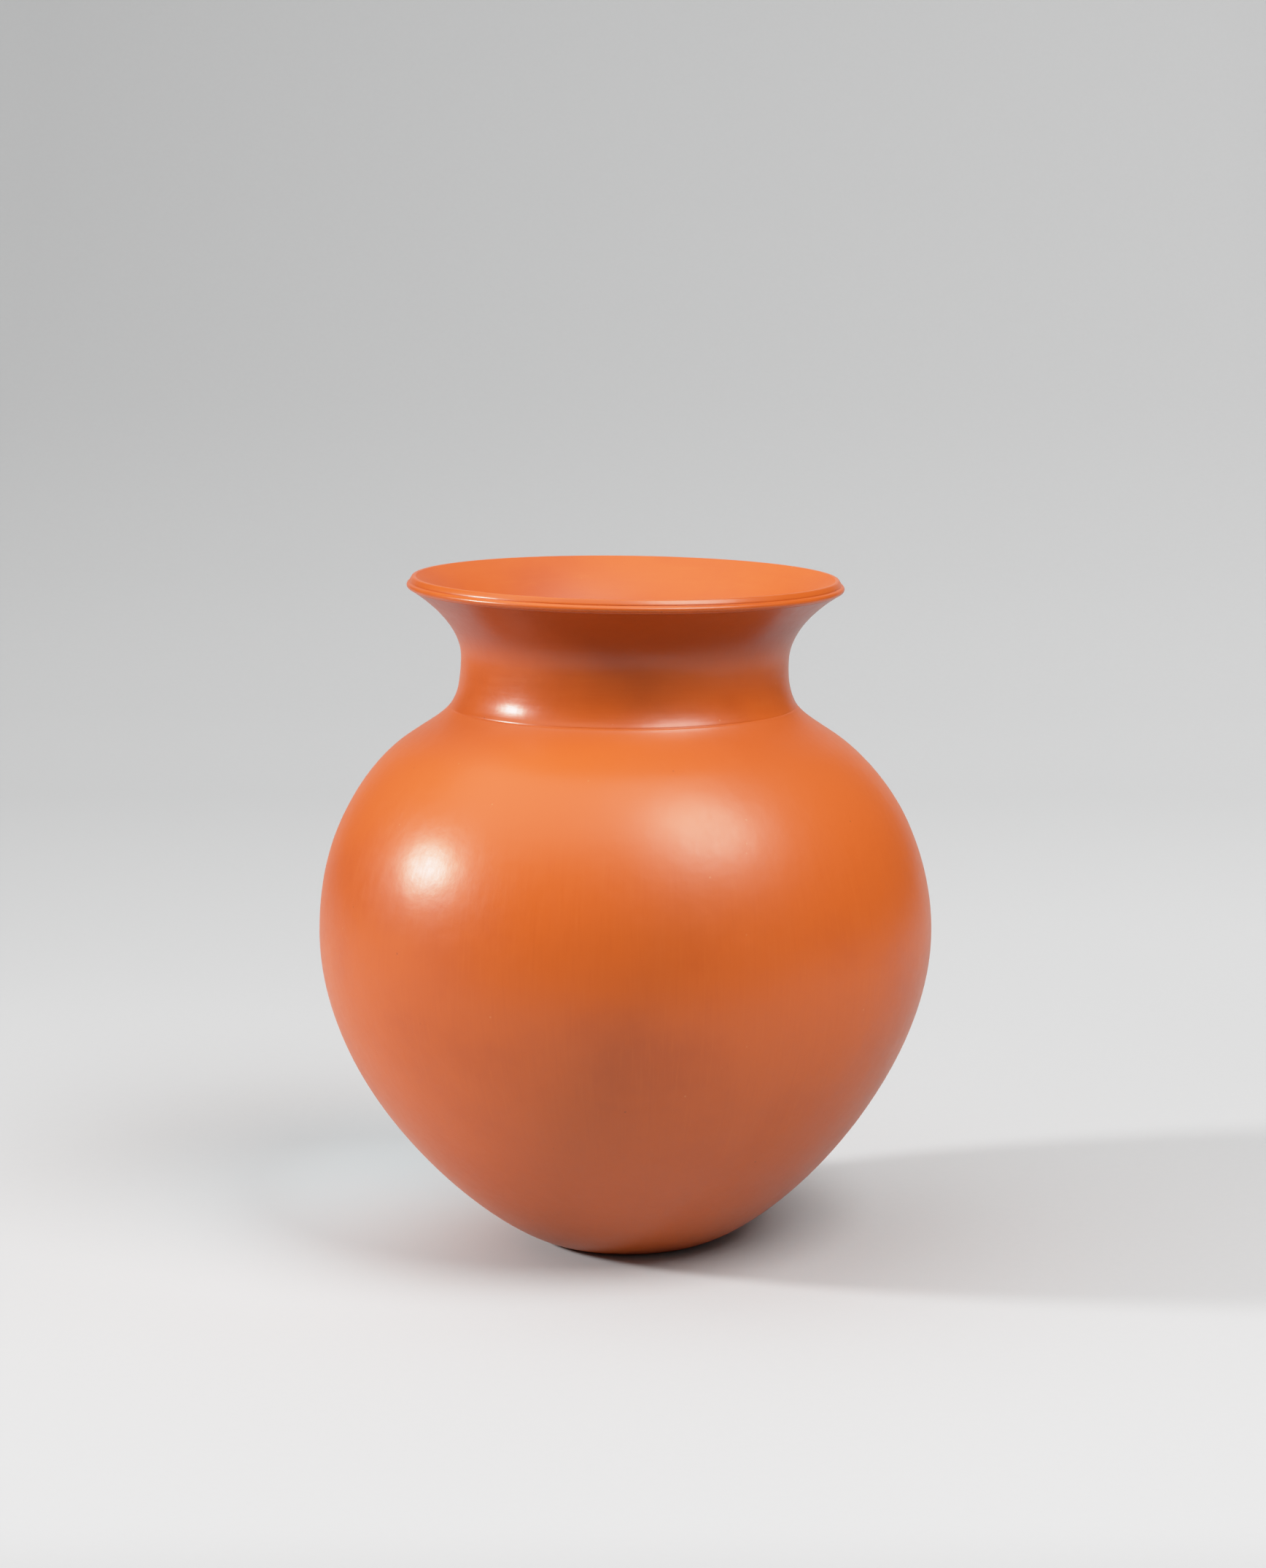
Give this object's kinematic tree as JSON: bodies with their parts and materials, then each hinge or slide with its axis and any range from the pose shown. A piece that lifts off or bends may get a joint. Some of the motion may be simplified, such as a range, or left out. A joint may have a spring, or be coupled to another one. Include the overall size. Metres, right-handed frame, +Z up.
{
  "type": "jar",
  "caption": "Wide-mouthed globular jar of burnished red earthenware with a small flat base, a short waisted neck, a flared mouth and a moulded lip.",
  "frame": {"origin": "centre of the flat base, on the plane that the jar stands on", "axes": "+Z up along the jar's axis from the base to the mouth; the jar is a body of revolution, so +X and +Y are any two level directions at right angles"},
  "size_m": [0.18, 0.18, 0.1965],
  "materials": {
    "burnished_slip": "red-orange iron-rich slip over low-fired earthenware, burnished to a satin gloss, unglazed"
  },
  "bodies": {
    "root": {"base": "burnished_slip", "lower_body": "burnished_slip", "shoulder": "burnished_slip", "neck": "burnished_slip", "lip": "burnished_slip"}
  },
  "joints": []
}
